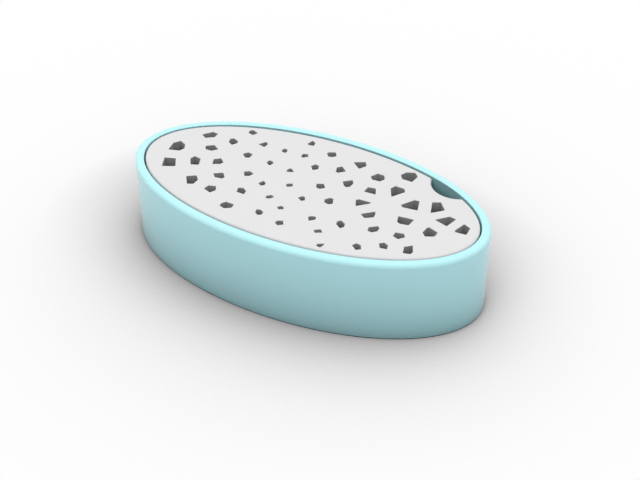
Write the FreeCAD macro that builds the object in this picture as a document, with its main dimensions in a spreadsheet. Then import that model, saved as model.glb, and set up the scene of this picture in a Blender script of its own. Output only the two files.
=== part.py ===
import FreeCAD, Part
import os

import Sketcher

# Soap holder: an oval bowl that catches the water, and a drain plate that lies in its mouth.
# Millimetres. X runs along the oval, Y across it, Z up. The origin is the middle of the base.

os.makedirs("parts", exist_ok=True)
doc = FreeCAD.newDocument("soap_holder")

# Driving sizes
driving_sizes = {
    # Bowl
    "bowl_length": 129.4,
    "bowl_width": 67.4,
    "bowl_height": 30.2,
    "wall": 3.2,
    "floor_thickness": 2.8,
    "rim_outer_radius": 1.3,
    "rim_inner_radius": 0.25,
    "base_edge_radius": 0.4,
    "basin_corner_radius": 2.0,
    # Moulded ribs that carry the plate
    "rib_width": 2.0,
    "rib_depth": 2.4,
    "rib_spacing": 26.0,
    # Shallow hollow under the base, which leaves a ring to stand on
    "standing_ring": 4.0,
    "base_hollow": 0.6,
    # Drain plate
    "plate_thickness": 5.0,
    "side_clearance": 0.8,
    "end_clearance": 0.5,
    "set_down": 0.05,
    "plate_top_radius": 0.8,
    "plate_bottom_radius": 0.4,
    "notch_radius": 8.9,
    "notch_tip_radius": 1.0,
    # How far every cut runs past the solid
    "overrun": 1.0,
}

sheet = doc.addObject("Spreadsheet::Sheet", "sizes")
for row, (alias, number) in enumerate(driving_sizes.items(), start=1):
    sheet.set(f"A{row}", alias)
    sheet.set(f"B{row}", str(number))
    sheet.setAlias(f"B{row}", alias)
doc.recompute()

# Sizes that follow from the driving ones, as formulas on the sheet
mouth_length = "(sizes.bowl_length - 2 * sizes.wall)"
mouth_width = "(sizes.bowl_width - 2 * sizes.wall)"
plate_length = f"({mouth_length} - 2 * sizes.end_clearance)"
plate_width = f"({mouth_width} - 2 * sizes.side_clearance)"
rib_top = "(sizes.bowl_height - sizes.set_down - sizes.plate_thickness)"

# The finger notch: its centre, as shares of the plate's half length and half width
notch_centre_shares = (0.723, 0.857)

# The drain holes: the corners of each, as shares of the plate's half length and half width,
# from the left end of the plate to the right
hole_corner_shares = (
    ((-0.862, 0.169), (-0.821, 0.131), (-0.802, 0.052), (-0.816, -0.014), (-0.878, -0.052),
     (-0.889, 0.097)),
    ((-0.852, -0.213), (-0.791, -0.172), (-0.751, -0.31), (-0.82, -0.377)),
    ((-0.745, 0.514), (-0.709, 0.502), (-0.709, 0.423), (-0.753, 0.359), (-0.787, 0.406)),
    ((-0.666, 0.274), (-0.623, 0.217), (-0.652, 0.154), (-0.69, 0.153), (-0.707, 0.216)),
    ((-0.707, -0.031), (-0.664, -0.046), (-0.642, -0.162), (-0.684, -0.199), (-0.716, -0.096)),
    ((-0.644, -0.424), (-0.597, -0.359), (-0.567, -0.426), (-0.571, -0.517), (-0.601, -0.547)),
    ((-0.602, 0.505), (-0.566, 0.473), (-0.559, 0.433), (-0.578, 0.373), (-0.611, 0.413),
     (-0.616, 0.482)),
    ((-0.563, 0.069), (-0.529, 0.01), (-0.538, -0.034), (-0.576, -0.078), (-0.595, 0.015)),
    ((-0.545, 0.767), (-0.505, 0.734), (-0.522, 0.671), (-0.556, 0.69), (-0.56, 0.744)),
    ((-0.524, -0.236), (-0.478, -0.173), (-0.449, -0.245), (-0.456, -0.28), (-0.497, -0.293)),
    ((-0.488, -0.465), (-0.446, -0.44), (-0.429, -0.512), (-0.447, -0.575), (-0.494, -0.541)),
    ((-0.475, 0.266), (-0.455, 0.321), (-0.423, 0.312), (-0.422, 0.238), (-0.429, 0.224),
     (-0.445, 0.212)),
    ((-0.418, 0.612), (-0.397, 0.585), (-0.4, 0.505), (-0.444, 0.528)),
    ((-0.353, -0.008), (-0.321, -0.036), (-0.335, -0.095), (-0.357, -0.118), (-0.38, -0.044)),
    ((-0.331, -0.35), (-0.305, -0.33), (-0.277, -0.368), (-0.274, -0.431), (-0.32, -0.427)),
    ((-0.325, -0.646), (-0.273, -0.65), (-0.27, -0.714), (-0.303, -0.761), (-0.334, -0.743),
     (-0.341, -0.702)),
    ((-0.309, 0.289), (-0.29, 0.288), (-0.273, 0.261), (-0.283, 0.198), (-0.312, 0.23)),
    ((-0.288, 0.587), (-0.268, 0.58), (-0.262, 0.54), (-0.265, 0.509), (-0.289, 0.515), (-0.295, 0.555)),
    ((-0.239, -0.102), (-0.217, -0.136), (-0.216, -0.173), (-0.232, -0.201), (-0.254, -0.169)),
    ((-0.183, 0.886), (-0.158, 0.855), (-0.153, 0.797), (-0.185, 0.78), (-0.194, 0.811)),
    ((-0.17, 0.249), (-0.157, 0.254), (-0.129, 0.206), (-0.17, 0.174), (-0.173, 0.2)),
    ((-0.169, 0.591), (-0.141, 0.602), (-0.13, 0.559), (-0.154, 0.511), (-0.169, 0.534)),
    ((-0.143, -0.613), (-0.121, -0.602), (-0.098, -0.629), (-0.097, -0.679), (-0.115, -0.698),
     (-0.138, -0.667)),
    ((-0.135, -0.305), (-0.113, -0.322), (-0.13, -0.376), (-0.15, -0.386), (-0.157, -0.342)),
    ((-0.083, -0.001), (-0.073, -0.053), (-0.098, -0.089), (-0.114, -0.041), (-0.103, -0.023)),
    ((-0.057, 0.461), (-0.033, 0.446), (-0.023, 0.384), (-0.047, 0.342), (-0.073, 0.406)),
    ((-0.044, 0.756), (-0.01, 0.786), (0.011, 0.719), (-0.009, 0.679), (-0.03, 0.671), (-0.05, 0.724)),
    ((-0.04, -0.436), (-0.024, -0.446), (-0.015, -0.478), (-0.04, -0.506), (-0.057, -0.472)),
    ((0.03, -0.666), (0.049, -0.726), (0.023, -0.765), (-0, -0.733), (0.006, -0.691)),
    ((0.019, -0.167), (0.037, -0.173), (0.048, -0.23), (0.032, -0.252), (0.003, -0.215)),
    ((0.07, 0.152), (0.094, 0.087), (0.07, 0.046), (0.05, 0.051), (0.033, 0.118)),
    ((0.085, 0.56), (0.125, 0.489), (0.091, 0.424), (0.076, 0.431), (0.063, 0.514)),
    ((0.139, -0.461), (0.16, -0.442), (0.171, -0.443), (0.179, -0.488), (0.152, -0.54), (0.135, -0.488)),
    ((0.159, -0.057), (0.18, -0.057), (0.196, -0.142), (0.177, -0.172), (0.151, -0.162), (0.14, -0.11)),
    ((0.124, 0.697), (0.183, 0.765), (0.205, 0.696), (0.179, 0.606)),
    ((0.152, 0.292), (0.195, 0.368), (0.213, 0.314), (0.209, 0.234), (0.192, 0.211), (0.177, 0.225)),
    ((0.24, -0.617), (0.264, -0.658), (0.229, -0.7), (0.212, -0.665)),
    ((0.314, -0.821), (0.317, -0.845), (0.309, -0.901), (0.287, -0.898), (0.281, -0.862)),
    ((0.293, 0.614), (0.333, 0.612), (0.35, 0.545), (0.334, 0.485), (0.289, 0.479), (0.27, 0.527)),
    ((0.304, 0.067), (0.377, 0.071), (0.372, 0.042), (0.315, -0.065), (0.293, 0.038)),
    ((0.306, -0.376), (0.335, -0.414), (0.342, -0.468), (0.327, -0.505), (0.293, -0.455),
     (0.289, -0.401)),
    ((0.3, 0.322), (0.343, 0.338), (0.366, 0.233), (0.298, 0.225)),
    ((0.43, -0.062), (0.44, -0.1), (0.444, -0.163), (0.403, -0.22), (0.37, -0.172)),
    ((0.429, 0.483), (0.485, 0.476), (0.5, 0.424), (0.451, 0.274), (0.416, 0.414)),
    ((0.475, 0.825), (0.503, 0.765), (0.494, 0.642), (0.434, 0.646), (0.413, 0.712), (0.429, 0.785)),
    ((0.46, -0.663), (0.486, -0.67), (0.504, -0.733), (0.48, -0.767), (0.447, -0.713)),
    ((0.497, -0.286), (0.513, -0.31), (0.512, -0.375), (0.491, -0.416), (0.466, -0.41), (0.458, -0.349)),
    ((0.576, 0.335), (0.603, 0.337), (0.627, 0.17), (0.543, 0.15), (0.528, 0.184)),
    ((0.557, -0.021), (0.644, -0.003), (0.637, -0.122), (0.59, -0.139), (0.571, -0.119)),
    ((0.586, -0.52), (0.612, -0.543), (0.621, -0.609), (0.584, -0.622), (0.564, -0.556)),
    ((0.602, -0.301), (0.647, -0.284), (0.662, -0.337), (0.636, -0.397), (0.602, -0.37)),
    ((0.71, 0.426), (0.755, 0.314), (0.75, 0.294), (0.698, 0.193), (0.669, 0.382)),
    ((0.726, -0.425), (0.749, -0.531), (0.744, -0.572), (0.706, -0.591), (0.692, -0.49)),
    ((0.734, -0.063), (0.745, -0.057), (0.799, -0.099), (0.796, -0.179), (0.752, -0.223),
     (0.727, -0.167)),
    ((0.801, 0.225), (0.833, 0.215), (0.841, 0.205), (0.818, 0.05), (0.742, 0.099)),
    ((0.895, 0.169), (0.936, 0.131), (0.938, 0.004), (0.88, -0.006), (0.871, 0.017)),
)


def value(formula):
    """The number that a formula on the sheet gives."""
    return float(sheet.evalExpression(formula))


def new_body(name):
    """An empty body whose label names the sub-part."""
    body = doc.addObject("PartDesign::Body", name)
    body.Label = name
    return body


def flat_sketch(body, name, level="0"):
    """An empty sketch on the body's XY plane, raised to a level."""
    plane = [feature for feature in body.Origin.OriginFeatures if feature.Role == "XY_Plane"][0]
    sketch = body.newObject("Sketcher::SketchObject", name)
    sketch.AttachmentSupport = [(plane, "")]
    sketch.MapMode = "FlatFace"
    sketch.setExpression("AttachmentOffset.Base.z", level)
    return sketch


def dimension(sketch, kind, places, name, formula):
    """One named dimension of a sketch, bound to a formula on the sheet."""
    index = sketch.addConstraint(Sketcher.Constraint(kind, *places, value(formula)))
    sketch.renameConstraint(index, name)
    sketch.setExpression(f"Constraints.{name}", formula)


def draw_oval(sketch, length, width):
    """An ellipse about the origin, with its long axis along X."""
    half_length = FreeCAD.Vector(value(length) / 2, 0, 0)
    half_width = FreeCAD.Vector(0, value(width) / 2, 0)
    oval = sketch.addGeometry(Part.Ellipse(half_length, half_width, FreeCAD.Vector(0, 0, 0)))
    sketch.exposeInternalGeometry(oval)
    long_axis = oval + 1
    short_axis = oval + 2
    sketch.addConstraint(Sketcher.Constraint("Coincident", oval, 3, -1, 1))
    sketch.addConstraint(Sketcher.Constraint("Horizontal", long_axis))
    dimension(sketch, "Distance", (long_axis,), "oval_length", length)
    dimension(sketch, "Distance", (short_axis,), "oval_width", width)


def draw_bar(sketch, size_x, size_y, shift="0"):
    """A rectangle centred on the X axis, at a shift along it from the origin."""
    half_x = value(size_x) / 2
    half_y = value(size_y) / 2
    middle = value(shift)
    corners = [
        FreeCAD.Vector(middle - half_x, -half_y, 0),
        FreeCAD.Vector(middle + half_x, -half_y, 0),
        FreeCAD.Vector(middle + half_x, half_y, 0),
        FreeCAD.Vector(middle - half_x, half_y, 0),
    ]
    draw_outlines(sketch, [corners])
    bottom, right, top = range(len(corners) - 1)
    sketch.addConstraint(Sketcher.Constraint("Horizontal", bottom))
    sketch.addConstraint(Sketcher.Constraint("Horizontal", top))
    sketch.addConstraint(Sketcher.Constraint("Vertical", right))
    sketch.addConstraint(Sketcher.Constraint("Symmetric", bottom, 1, top, 2, -1))
    dimension(sketch, "DistanceX", (bottom, 1, bottom, 2), "size_x", size_x)
    dimension(sketch, "DistanceY", (right, 1, right, 2), "size_y", size_y)
    dimension(sketch, "DistanceX", (-1, 1, bottom, 2), "far_side", f"{shift} + {size_x} / 2")


def draw_outlines(sketch, outlines):
    """Closed outlines of straight edges, each given by its corners."""
    edges = []
    joints = []
    for corners in outlines:
        first = len(edges)
        for step, start in enumerate(corners):
            following = (step + 1) % len(corners)
            edges.append(Part.LineSegment(start, corners[following]))
            joints.append(Sketcher.Constraint("Coincident", first + step, 2, first + following, 1))
    sketch.addGeometry(edges)
    sketch.addConstraint(joints)


def pad(body, sketch, name, length):
    """A solid drawn up from a sketch."""
    feature = body.newObject("PartDesign::Pad", name)
    feature.Profile = sketch
    feature.Refine = False
    feature.setExpression("Length", length)
    doc.recompute()
    return feature


def pocket(body, sketch, name, depth, upward=False):
    """A hollow cut down from a sketch, or up from one on the underside."""
    before = body.Shape.Volume
    feature = body.newObject("PartDesign::Pocket", name)
    feature.Profile = sketch
    feature.Refine = False
    feature.Reversed = upward
    feature.setExpression("Length", depth)
    doc.recompute()
    if not body.Shape.Volume < before:
        raise RuntimeError(f"{name} cuts nothing")
    return feature


def round_edges(body, name, radius, chosen):
    """A fillet on the edges of the body that a test picks."""
    base = body.Tip
    names = [f"Edge{number}" for number, edge in enumerate(base.Shape.Edges, start=1) if chosen(edge)]
    if not names:
        raise RuntimeError(f"{name} finds no edge")
    feature = body.newObject("PartDesign::Fillet", name)
    feature.Base = (base, names)
    feature.setExpression("Radius", radius)
    doc.recompute()
    return feature


def near(one, other):
    """Whether two lengths differ by far less than the wall."""
    return abs(one - other) < value("sizes.wall") / 100


def lies_flat_at(edge, level):
    """Whether an edge lies wholly at one level."""
    box = edge.BoundBox
    return near(box.ZMin, level) and near(box.ZMax, level)


def runs_round(edge, length):
    """Whether an edge goes all the way round an oval of this length."""
    return near(edge.BoundBox.XLength, length)


# Bowl: an oval cup with a flat floor
bowl = new_body("bowl")

outer_oval = flat_sketch(bowl, "outer_oval")
draw_oval(outer_oval, "sizes.bowl_length", "sizes.bowl_width")
pad(bowl, outer_oval, "bowl_block", "sizes.bowl_height")

mouth_oval = flat_sketch(bowl, "mouth_oval", "sizes.bowl_height + sizes.overrun")
draw_oval(mouth_oval, mouth_length, mouth_width)
hollow_depth = "sizes.bowl_height - sizes.floor_thickness + sizes.overrun"
pocket(bowl, mouth_oval, "bowl_hollow", hollow_depth)

floor_level = value("sizes.floor_thickness")
round_edges(bowl, "basin_corner", "sizes.basin_corner_radius", lambda edge: lies_flat_at(edge, floor_level))

# The ribs start as bars that reach into the wall on both sides. Their middles are cut away after.
across_length = "(sizes.bowl_width - sizes.wall)"
shorter_share = "sqrt(1 - (2 * sizes.rib_spacing / (sizes.bowl_length - sizes.wall)) ^ 2)"

middle_bar = flat_sketch(bowl, "middle_bar")
draw_bar(middle_bar, "sizes.rib_width", across_length)
pad(bowl, middle_bar, "middle_ribs", rib_top)

side_bar = flat_sketch(bowl, "side_bar")
draw_bar(side_bar, "sizes.rib_width", f"{across_length} * {shorter_share}", "sizes.rib_spacing")
side_ribs = pad(bowl, side_bar, "right_ribs", rib_top)

mirrored_ribs = bowl.newObject("PartDesign::Mirrored", "left_ribs")
mirrored_ribs.Originals = [side_ribs]
mirrored_ribs.Refine = False
mirror_plane = [feature for feature in bowl.Origin.OriginFeatures if feature.Role == "YZ_Plane"][0]
mirrored_ribs.MirrorPlane = (mirror_plane, [""])
bowl.Tip = mirrored_ribs
doc.recompute()

end_bar = flat_sketch(bowl, "end_bar")
draw_bar(end_bar, "(sizes.bowl_length - sizes.wall)", "sizes.rib_width")
pad(bowl, end_bar, "end_ribs", rib_top)

basin_oval = flat_sketch(bowl, "basin_oval", rib_top)
draw_oval(basin_oval, f"{mouth_length} - 2 * sizes.rib_depth", f"{mouth_width} - 2 * sizes.rib_depth")
pocket(bowl, basin_oval, "rib_ends", f"{rib_top} - sizes.floor_thickness")

base_oval = flat_sketch(bowl, "base_oval", "-sizes.overrun")
base_length = "(sizes.bowl_length - 2 * sizes.standing_ring)"
base_width = "(sizes.bowl_width - 2 * sizes.standing_ring)"
draw_oval(base_oval, base_length, base_width)
pocket(bowl, base_oval, "base_hollow", "sizes.base_hollow + sizes.overrun", upward=True)

rim_level = value("sizes.bowl_height")
bowl_length = value("sizes.bowl_length")
round_edges(
    bowl, "rim_outside", "sizes.rim_outer_radius",
    lambda edge: lies_flat_at(edge, rim_level) and runs_round(edge, bowl_length),
)
round_edges(
    bowl, "rim_inside", "sizes.rim_inner_radius",
    lambda edge: lies_flat_at(edge, rim_level) and runs_round(edge, value(mouth_length)),
)
round_edges(
    bowl, "base_edge", "sizes.base_edge_radius",
    lambda edge: lies_flat_at(edge, 0) and runs_round(edge, bowl_length),
)

# Drain plate: drawn from its underside up, then set down on the ribs by its placement
plate = new_body("drain_plate")

plate_oval = flat_sketch(plate, "plate_oval")
draw_oval(plate_oval, plate_length, plate_width)
pad(plate, plate_oval, "plate_block", "sizes.plate_thickness")

top_level = "sizes.plate_thickness + sizes.overrun"
cut_depth = "sizes.plate_thickness + 2 * sizes.overrun"
half_length = value(plate_length) / 2
half_width = value(plate_width) / 2

notch_circle = flat_sketch(plate, "notch_circle", top_level)
along_share, across_share = notch_centre_shares
notch_centre = FreeCAD.Vector(half_length * along_share, half_width * across_share, 0)
upright = FreeCAD.Vector(0, 0, 1)
circle = notch_circle.addGeometry(Part.Circle(notch_centre, upright, value("sizes.notch_radius")))
dimension(notch_circle, "Radius", (circle,), "radius", "sizes.notch_radius")
dimension(notch_circle, "DistanceX", (-1, 1, circle, 3), "along", f"{plate_length} / 2 * {along_share}")
dimension(notch_circle, "DistanceY", (-1, 1, circle, 3), "across", f"{plate_width} / 2 * {across_share}")
pocket(plate, notch_circle, "finger_notch", cut_depth)

round_edges(
    plate, "notch_tips", "sizes.notch_tip_radius",
    lambda edge: near(edge.BoundBox.XLength, 0) and near(edge.BoundBox.YLength, 0)
    and edge.BoundBox.Center.y > 0,
)
plate_top = value("sizes.plate_thickness")
round_edges(plate, "top_edge", "sizes.plate_top_radius", lambda edge: lies_flat_at(edge, plate_top))
round_edges(plate, "bottom_edge", "sizes.plate_bottom_radius", lambda edge: lies_flat_at(edge, 0))

hole_outlines = flat_sketch(plate, "hole_outlines", top_level)
draw_outlines(hole_outlines, [
    [FreeCAD.Vector(half_length * x, half_width * y, 0) for x, y in corner_shares]
    for corner_shares in hole_corner_shares
])
pocket(plate, hole_outlines, "drain_holes", cut_depth)

plate.setExpression("Placement.Base.z", rib_top)

# Every object is whole before anything is written
doc.recompute()
for item in doc.Objects:
    if "Invalid" in item.State or "Error" in item.State:
        raise RuntimeError(f"{item.Label} did not build: {item.State}")
for node in (bowl, plate):
    if node.Shape.isNull() or not node.Shape.isValid():
        raise RuntimeError(f"{node.Label} has no sound shape")
    node.Shape.exportStep(f"parts/{node.Label}.step")
    print(node.Label, len(node.Shape.Solids), round(node.Shape.Volume), node.Shape.BoundBox)
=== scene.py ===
import logging
import math
from dataclasses import dataclass, field, replace
from enum import Enum
from typing import Callable, Sequence, Union

import bpy
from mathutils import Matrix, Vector
from mathutils.geometry import delaunay_2d_cdt


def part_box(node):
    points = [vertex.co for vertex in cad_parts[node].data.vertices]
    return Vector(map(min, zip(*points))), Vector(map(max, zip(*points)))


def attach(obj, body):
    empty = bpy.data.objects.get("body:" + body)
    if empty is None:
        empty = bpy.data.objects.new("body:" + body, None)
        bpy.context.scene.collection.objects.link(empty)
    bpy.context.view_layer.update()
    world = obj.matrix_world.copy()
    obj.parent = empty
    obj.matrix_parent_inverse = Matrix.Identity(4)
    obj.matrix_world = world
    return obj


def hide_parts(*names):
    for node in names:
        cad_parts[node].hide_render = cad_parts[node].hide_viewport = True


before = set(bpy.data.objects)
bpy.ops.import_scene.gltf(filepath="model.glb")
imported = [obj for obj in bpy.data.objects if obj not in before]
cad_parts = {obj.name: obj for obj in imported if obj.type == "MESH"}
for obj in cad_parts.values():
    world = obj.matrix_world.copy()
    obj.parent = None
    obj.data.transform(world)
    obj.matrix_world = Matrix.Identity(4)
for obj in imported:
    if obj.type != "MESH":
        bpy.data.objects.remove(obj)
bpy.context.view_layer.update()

# Oval countertop soap holder: a deep aqua bowl, and a pale perforated drain plate set in its mouth.
# Metres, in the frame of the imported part: X along the oval, Y across it, Z up, the base at Z = 0.

LOG = logging.getLogger("soap_holder")
MM = 0.001
WALL = 3.2 * MM
SIDE_CLEARANCE = 0.8 * MM
END_CLEARANCE = 0.5 * MM
UP = Vector((0.0, 0.0, 1.0))
QUARTER = math.pi / 2
FULL_TURN = 2 * math.pi
WHITE = (1.0, 1.0, 1.0, 1.0)
# How often a search halves the stretch that it looks in.
HALVINGS = 60
# The least cosine between two ways that are still taken as one, and as much the same.
SAME_WAY = 0.999999
MUCH_THE_SAME_WAY = 0.5
# How many rays look for open sky from each point of the floor.
SKY_SAMPLES = 16

Socket = bpy.types.NodeSocket
SocketValue = Union[Socket, float, Sequence[float]]

# The drain holes, from the left end of the plate to the right: the corners of each, as shares of the
# plate's half length and half width, read from the photograph and then fitted to it.
HOLE_CORNER_SHARES = (
    ((-0.862, 0.169), (-0.821, 0.131), (-0.802, 0.052), (-0.816, -0.014), (-0.878, -0.052),
     (-0.889, 0.097)),
    ((-0.852, -0.213), (-0.791, -0.172), (-0.751, -0.31), (-0.82, -0.377)),
    ((-0.745, 0.514), (-0.709, 0.502), (-0.709, 0.423), (-0.753, 0.359), (-0.787, 0.406)),
    ((-0.666, 0.274), (-0.623, 0.217), (-0.652, 0.154), (-0.69, 0.153), (-0.707, 0.216)),
    ((-0.707, -0.031), (-0.664, -0.046), (-0.642, -0.162), (-0.684, -0.199), (-0.716, -0.096)),
    ((-0.644, -0.424), (-0.597, -0.359), (-0.567, -0.426), (-0.571, -0.517), (-0.601, -0.547)),
    ((-0.602, 0.505), (-0.566, 0.473), (-0.559, 0.433), (-0.578, 0.373), (-0.611, 0.413),
     (-0.616, 0.482)),
    ((-0.563, 0.069), (-0.529, 0.01), (-0.538, -0.034), (-0.576, -0.078), (-0.595, 0.015)),
    ((-0.545, 0.767), (-0.505, 0.734), (-0.522, 0.671), (-0.556, 0.69), (-0.56, 0.744)),
    ((-0.524, -0.236), (-0.478, -0.173), (-0.449, -0.245), (-0.456, -0.28), (-0.497, -0.293)),
    ((-0.488, -0.465), (-0.446, -0.44), (-0.429, -0.512), (-0.447, -0.575), (-0.494, -0.541)),
    ((-0.475, 0.266), (-0.455, 0.321), (-0.423, 0.312), (-0.422, 0.238), (-0.429, 0.224),
     (-0.445, 0.212)),
    ((-0.418, 0.612), (-0.397, 0.585), (-0.4, 0.505), (-0.444, 0.528)),
    ((-0.353, -0.008), (-0.321, -0.036), (-0.335, -0.095), (-0.357, -0.118), (-0.38, -0.044)),
    ((-0.331, -0.35), (-0.305, -0.33), (-0.277, -0.368), (-0.274, -0.431), (-0.32, -0.427)),
    ((-0.325, -0.646), (-0.273, -0.65), (-0.27, -0.714), (-0.303, -0.761), (-0.334, -0.743),
     (-0.341, -0.702)),
    ((-0.309, 0.289), (-0.29, 0.288), (-0.273, 0.261), (-0.283, 0.198), (-0.312, 0.23)),
    ((-0.288, 0.587), (-0.268, 0.58), (-0.262, 0.54), (-0.265, 0.509), (-0.289, 0.515),
     (-0.295, 0.555)),
    ((-0.239, -0.102), (-0.217, -0.136), (-0.216, -0.173), (-0.232, -0.201), (-0.254, -0.169)),
    ((-0.183, 0.886), (-0.158, 0.855), (-0.153, 0.797), (-0.185, 0.78), (-0.194, 0.811)),
    ((-0.17, 0.249), (-0.157, 0.254), (-0.129, 0.206), (-0.17, 0.174), (-0.173, 0.2)),
    ((-0.169, 0.591), (-0.141, 0.602), (-0.13, 0.559), (-0.154, 0.511), (-0.169, 0.534)),
    ((-0.143, -0.613), (-0.121, -0.602), (-0.098, -0.629), (-0.097, -0.679), (-0.115, -0.698),
     (-0.138, -0.667)),
    ((-0.135, -0.305), (-0.113, -0.322), (-0.13, -0.376), (-0.15, -0.386), (-0.157, -0.342)),
    ((-0.083, -0.001), (-0.073, -0.053), (-0.098, -0.089), (-0.114, -0.041), (-0.103, -0.023)),
    ((-0.057, 0.461), (-0.033, 0.446), (-0.023, 0.384), (-0.047, 0.342), (-0.073, 0.406)),
    ((-0.044, 0.756), (-0.01, 0.786), (0.011, 0.719), (-0.009, 0.679), (-0.03, 0.671), (-0.05, 0.724)),
    ((-0.04, -0.436), (-0.024, -0.446), (-0.015, -0.478), (-0.04, -0.506), (-0.057, -0.472)),
    ((0.03, -0.666), (0.049, -0.726), (0.023, -0.765), (0.0, -0.733), (0.006, -0.691)),
    ((0.019, -0.167), (0.037, -0.173), (0.048, -0.23), (0.032, -0.252), (0.003, -0.215)),
    ((0.07, 0.152), (0.094, 0.087), (0.07, 0.046), (0.05, 0.051), (0.033, 0.118)),
    ((0.085, 0.56), (0.125, 0.489), (0.091, 0.424), (0.076, 0.431), (0.063, 0.514)),
    ((0.139, -0.461), (0.16, -0.442), (0.171, -0.443), (0.179, -0.488), (0.152, -0.54),
     (0.135, -0.488)),
    ((0.159, -0.057), (0.18, -0.057), (0.196, -0.142), (0.177, -0.172), (0.151, -0.162), (0.14, -0.11)),
    ((0.124, 0.697), (0.183, 0.765), (0.205, 0.696), (0.179, 0.606)),
    ((0.152, 0.292), (0.195, 0.368), (0.213, 0.314), (0.209, 0.234), (0.192, 0.211), (0.177, 0.225)),
    ((0.24, -0.617), (0.264, -0.658), (0.229, -0.7), (0.212, -0.665)),
    ((0.314, -0.821), (0.317, -0.845), (0.309, -0.901), (0.287, -0.898), (0.281, -0.862)),
    ((0.293, 0.614), (0.333, 0.612), (0.35, 0.545), (0.334, 0.485), (0.289, 0.479), (0.27, 0.527)),
    ((0.304, 0.067), (0.377, 0.071), (0.372, 0.042), (0.315, -0.065), (0.293, 0.038)),
    ((0.306, -0.376), (0.335, -0.414), (0.342, -0.468), (0.327, -0.505), (0.293, -0.455),
     (0.289, -0.401)),
    ((0.3, 0.322), (0.343, 0.338), (0.366, 0.233), (0.298, 0.225)),
    ((0.43, -0.062), (0.44, -0.1), (0.444, -0.163), (0.403, -0.22), (0.37, -0.172)),
    ((0.429, 0.483), (0.485, 0.476), (0.5, 0.424), (0.451, 0.274), (0.416, 0.414)),
    ((0.475, 0.825), (0.503, 0.765), (0.494, 0.642), (0.434, 0.646), (0.413, 0.712), (0.429, 0.785)),
    ((0.46, -0.663), (0.486, -0.67), (0.504, -0.733), (0.48, -0.767), (0.447, -0.713)),
    ((0.497, -0.286), (0.513, -0.31), (0.512, -0.375), (0.491, -0.416), (0.466, -0.41),
     (0.458, -0.349)),
    ((0.576, 0.335), (0.603, 0.337), (0.627, 0.17), (0.543, 0.15), (0.528, 0.184)),
    ((0.557, -0.021), (0.644, -0.003), (0.637, -0.122), (0.59, -0.139), (0.571, -0.119)),
    ((0.586, -0.52), (0.612, -0.543), (0.621, -0.609), (0.584, -0.622), (0.564, -0.556)),
    ((0.602, -0.301), (0.647, -0.284), (0.662, -0.337), (0.636, -0.397), (0.602, -0.37)),
    ((0.71, 0.426), (0.755, 0.314), (0.75, 0.294), (0.698, 0.193), (0.669, 0.382)),
    ((0.726, -0.425), (0.749, -0.531), (0.744, -0.572), (0.706, -0.591), (0.692, -0.49)),
    ((0.734, -0.063), (0.745, -0.057), (0.799, -0.099), (0.796, -0.179), (0.752, -0.223),
     (0.727, -0.167)),
    ((0.801, 0.225), (0.833, 0.215), (0.841, 0.205), (0.818, 0.05), (0.742, 0.099)),
    ((0.895, 0.169), (0.936, 0.131), (0.938, 0.004), (0.88, -0.006), (0.871, 0.017)),
)


class Facing(Enum):
    """Which way a flat cap of a shell looks."""

    UP = 1
    DOWN = -1


class AirSide(Enum):
    """Which side of a counterclockwise outline is open air."""

    OUTSIDE = -1
    INSIDE = 1


class Skin(Enum):
    """Which of a piece's two materials a face has, as the number of its material; the sheltered one
    carries painted shade.
    """

    OPEN = 0
    SHELTERED = 1


def closed_in(low: float, high: float, short: Callable[[float], bool]) -> float:
    """Halve a stretch until it closes in on the place where a test turns false.

    Args:
        low: Where the test is true.
        high: Where it is false.
        short: The test.

    Returns:
        The place.
    """
    for _ in range(HALVINGS):
        middle = (low + high) / 2
        if short(middle):
            low = middle
        else:
            high = middle
    return (low + high) / 2


@dataclass(frozen=True)
class Oval:
    """An ellipse about the middle of the part, with its long axis along X."""

    half_length: float
    half_width: float

    def grown(self, distance: float) -> "Oval":
        """The oval with both half axes longer by a distance."""
        return Oval(self.half_length + distance, self.half_width + distance)

    def outward(self, turn: float) -> Vector:
        """The level direction straight out of the oval at a turn."""
        return Vector((math.cos(turn) / self.half_length, math.sin(turn) / self.half_width)).normalized()

    def at(self, turn: float, inset: float = 0.0) -> Vector:
        """The point at a turn, moved straight inwards by an inset."""
        rim = Vector((self.half_length * math.cos(turn), self.half_width * math.sin(turn)))
        return rim - self.outward(turn) * inset

    def turn_beside(self, outward: Vector, aside: float, inset: float = 0.0) -> float:
        """Find where the oval lies a given distance to one side of a line through its middle.

        Args:
            outward: The way that the line runs from the middle, level and of length one.
            aside: How far counterclockwise of the line the point lies.
            inset: How far inwards of the oval the point lies.

        Returns:
            The turn of that point.
        """
        across = Vector((-outward.y, outward.x))
        straight = math.atan2(outward.y, outward.x)
        return closed_in(
            straight - QUARTER, straight + QUARTER, lambda turn: self.at(turn, inset).dot(across) < aside
        )


@dataclass
class Outline:
    """A closed row of level points, counterclockwise, with the level way to the open air at each."""

    points: list[Vector] = field(default_factory=list)
    airward: list[Vector] = field(default_factory=list)

    def add(self, point: Vector, airward: Vector) -> None:
        """Put one more point at the end of the row."""
        self.points.append(point)
        self.airward.append(airward)

    def inset(self, distance: float) -> "Outline":
        """The outline drawn back from the air, into the plastic."""
        drawn = [point - away * distance for point, away in zip(self.points, self.airward)]
        return Outline(drawn, list(self.airward))


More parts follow.
